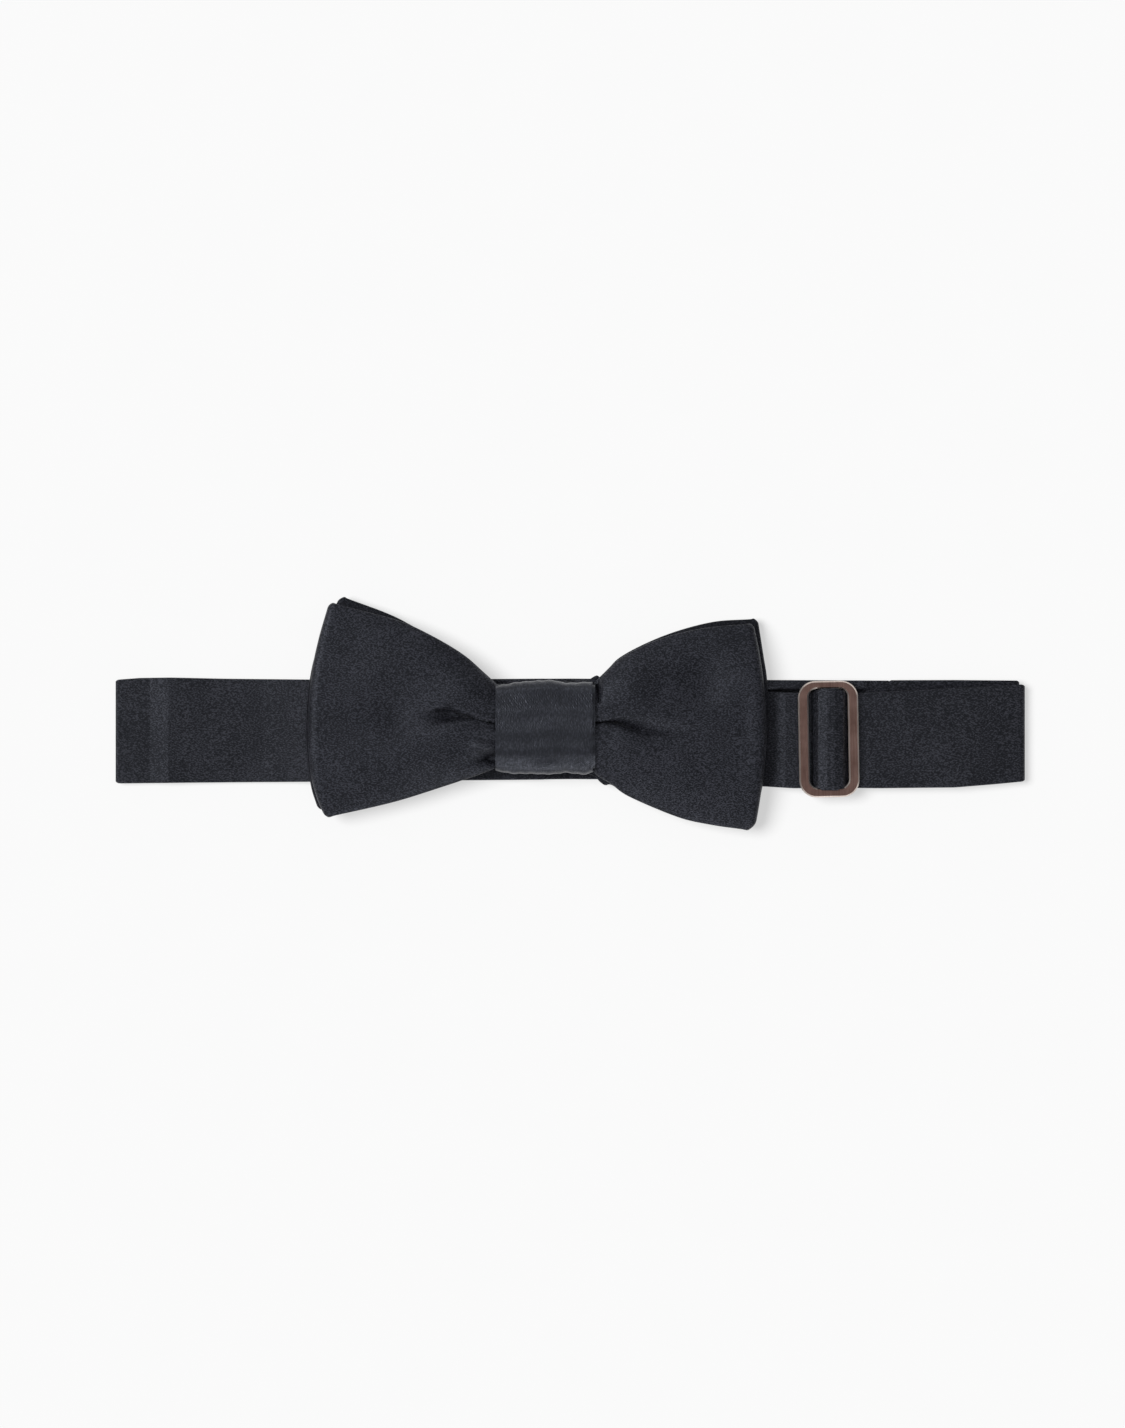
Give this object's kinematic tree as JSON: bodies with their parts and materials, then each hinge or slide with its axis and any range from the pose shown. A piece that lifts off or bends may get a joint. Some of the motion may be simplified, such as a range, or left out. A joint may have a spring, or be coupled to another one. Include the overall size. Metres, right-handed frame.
{
  "type": "bow tie",
  "caption": "Pre-tied satin bow tie with a two-layer bow, a wrapped knot and a closed adjustable neck band with a metal slider and a hook-and-eye closure, lying flat.",
  "frame": {"origin": "on the surface the tie lies on, under the middle of its bounding box", "axes": "+X along the band towards the slider, +Y the top edge of the bow, +Z out of the bow's face"},
  "size_m": [0.237, 0.0606, 0.0122],
  "materials": {
    "bow_satin": "midnight satin, fine grain, soft sheen",
    "band_satin": "midnight satin, pressed flat, soft sheen",
    "knot_satin": "midnight satin, smoother, with a brighter sheen at its turned edges",
    "interlining": "matt off-white non-woven interlining",
    "thread": "fine dark polyester thread",
    "bronze": "brushed antique copper with bright bevelled edges",
    "hook_metal": "plain antique copper plating"
  },
  "bodies": {
    "bow_and_band": {"front_bow_shell": "bow_satin", "front_bow_interlining": "interlining", "back_bow_shell": "bow_satin", "back_bow_interlining": "interlining", "knot_wrap": "knot_satin", "knot_wrap_interlining": "interlining", "knot_back_stitches": "thread", "fixed_band": "band_satin", "fixed_band_span": "band_satin", "strap_start": "band_satin", "strap_front_span": "band_satin", "strap_face_span": "band_satin", "strap_right_fold": "band_satin", "strap_inner_fold": "band_satin", "strap_back_span": "band_satin", "strap_inner_back_span": "band_satin", "strap_inner_face_span": "band_satin"},
    "slider": {"slider": "bronze", "strap_over_bar": "band_satin", "strap_sewn_end": "band_satin", "sewn_end_stitches": "thread"},
    "closure": {"fixed_band_end": "band_satin", "band_end_stitches": "thread", "eye_ring": "hook_metal"},
    "hook": {"hook": "hook_metal", "strap_hook_turn": "band_satin"}
  },
  "joints": [
    {"name": "slider_adjust", "type": "slide", "parent": "bow_and_band", "child": "slider", "axis": [1, 0, 0], "range_m": [-0.005, 0.012], "deforming": ["strap_front_span", "strap_face_span", "strap_inner_face_span"]},
    {"name": "closure_shift", "type": "slide", "parent": "bow_and_band", "child": "closure", "axis": [1, 0, 0], "range_m": [-0.006, 0.0025], "deforming": ["fixed_band_span", "strap_back_span", "strap_inner_back_span"]},
    {"name": "hook_release", "type": "slide", "parent": "closure", "child": "hook", "axis": [-1, 0, 0], "range_m": [0, 0.0015]}
  ],
  "couplings": [
    {"joint": "closure_shift", "follows": "slider_adjust", "ratio": -0.5}
  ]
}
